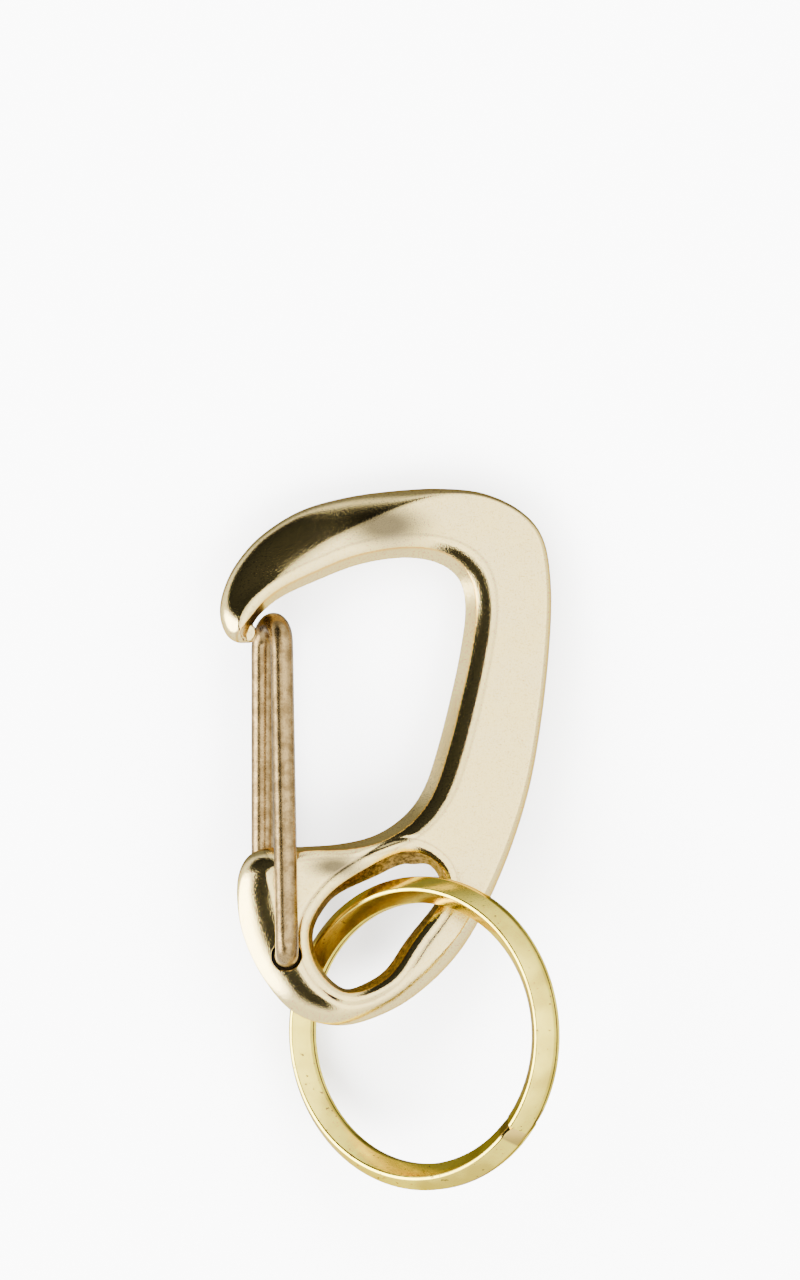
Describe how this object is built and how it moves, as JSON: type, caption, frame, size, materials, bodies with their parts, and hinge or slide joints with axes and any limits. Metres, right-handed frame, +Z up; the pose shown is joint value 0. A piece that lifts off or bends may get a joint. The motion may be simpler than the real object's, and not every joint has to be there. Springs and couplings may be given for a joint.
{
  "type": "wire-gate carabiner key holder with split ring",
  "caption": "Small cast brass carabiner with a sprung wire gate on offset pivots and a teardrop eye threaded by a two-turn split key ring.",
  "frame": {"origin": "middle of the footprint of the object as it lies on a flat surface, at that surface", "axes": "+Y along the length towards the hook, +X across towards the spine, +Z up out of the surface it lies on"},
  "size_m": [0.0338, 0.0702, 0.0189],
  "materials": {
    "polished_brass": "polished casting with a fine satin flat face",
    "aged_wire": "aged drawn wire, mottled brown",
    "ring_brass": "bright yellow brass with light scuffs"
  },
  "bodies": {
    "carabiner": {"body": "polished_brass"},
    "gate": {"wire_gate": "aged_wire"},
    "ring": {"split_ring": "ring_brass"}
  },
  "joints": [
    {"name": "gate_hinge", "type": "hinge", "parent": "carabiner", "child": "gate", "pos_m": [-0.0102, -0.01196, 0.00736], "axis": [-0.0523, -0.087, -0.9948], "range_deg": [0, 24], "stiffness_Nm_per_rad": 0.12, "springref_deg": -14.32},
    {"name": "ring_swing", "type": "hinge", "parent": "carabiner", "child": "ring", "pos_m": [-0.00181, -0.00652, 0.00644], "axis": [0, -0.9962, 0.0872], "range_deg": [0, 80]}
  ]
}
